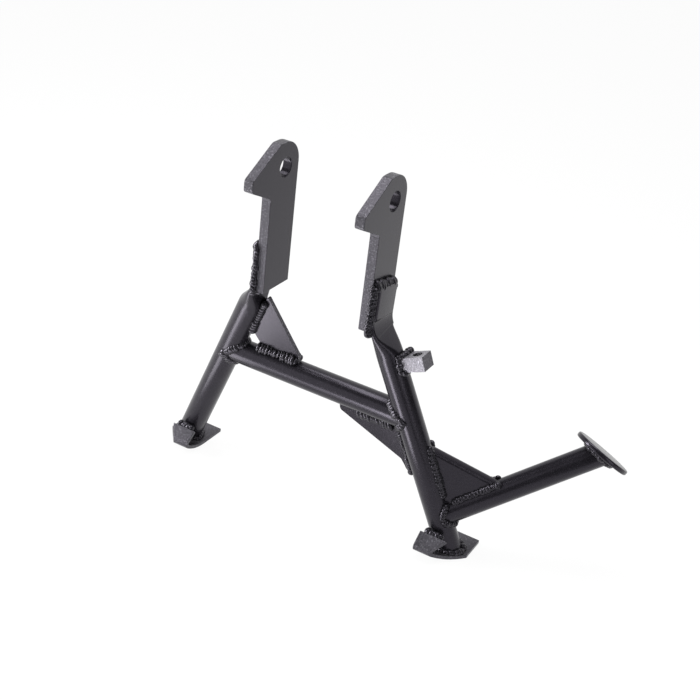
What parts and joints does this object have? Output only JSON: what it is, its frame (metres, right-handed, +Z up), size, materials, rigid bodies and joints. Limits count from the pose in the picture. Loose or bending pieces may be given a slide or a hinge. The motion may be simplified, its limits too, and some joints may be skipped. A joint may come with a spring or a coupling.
{
  "type": "motorcycle centre stand",
  "caption": "Welded tubular steel centre stand with two hooked pivot plates, a coped cross tube, plate feet and a side foot lever with a tread disc.",
  "frame": {"origin": "middle of the pivot axis, between the two pivot plates", "axes": "+X along the pivot axis to the side with the foot lever, +Y to the rear, +Z up"},
  "size_m": [0.5015, 0.16, 0.387],
  "materials": {
    "coated_steel": "satin black coat",
    "foot_steel": "satin black coat over cut edges",
    "weld_seam": "satin black coat over rippled weld"
  },
  "bodies": {
    "root": {"left_pivot_plate": "coated_steel", "right_pivot_plate": "coated_steel", "left_leg_tube": "coated_steel", "right_leg_tube": "coated_steel", "cross_tube": "coated_steel", "upper_gusset": "coated_steel", "lower_gusset": "coated_steel", "lever_tube": "coated_steel", "lever_gusset": "coated_steel", "foot_disc": "coated_steel", "left_foot_plate": "foot_steel", "right_foot_plate": "foot_steel", "spring_hook_block": "foot_steel", "left_plate_weld": "weld_seam", "right_plate_weld": "weld_seam", "left_plate_lower_weld": "weld_seam", "right_plate_lower_weld": "weld_seam", "cross_tube_left_weld": "weld_seam", "cross_tube_right_weld": "weld_seam", "upper_gusset_leg_weld": "weld_seam", "upper_gusset_tube_weld": "weld_seam", "lower_gusset_leg_weld": "weld_seam", "lower_gusset_tube_weld": "weld_seam", "lever_tube_weld": "weld_seam", "lever_gusset_leg_weld": "weld_seam", "lever_gusset_tube_weld": "weld_seam", "foot_disc_weld": "weld_seam", "left_foot_weld": "weld_seam", "right_foot_weld": "weld_seam", "spring_block_weld": "weld_seam"}
  },
  "joints": []
}
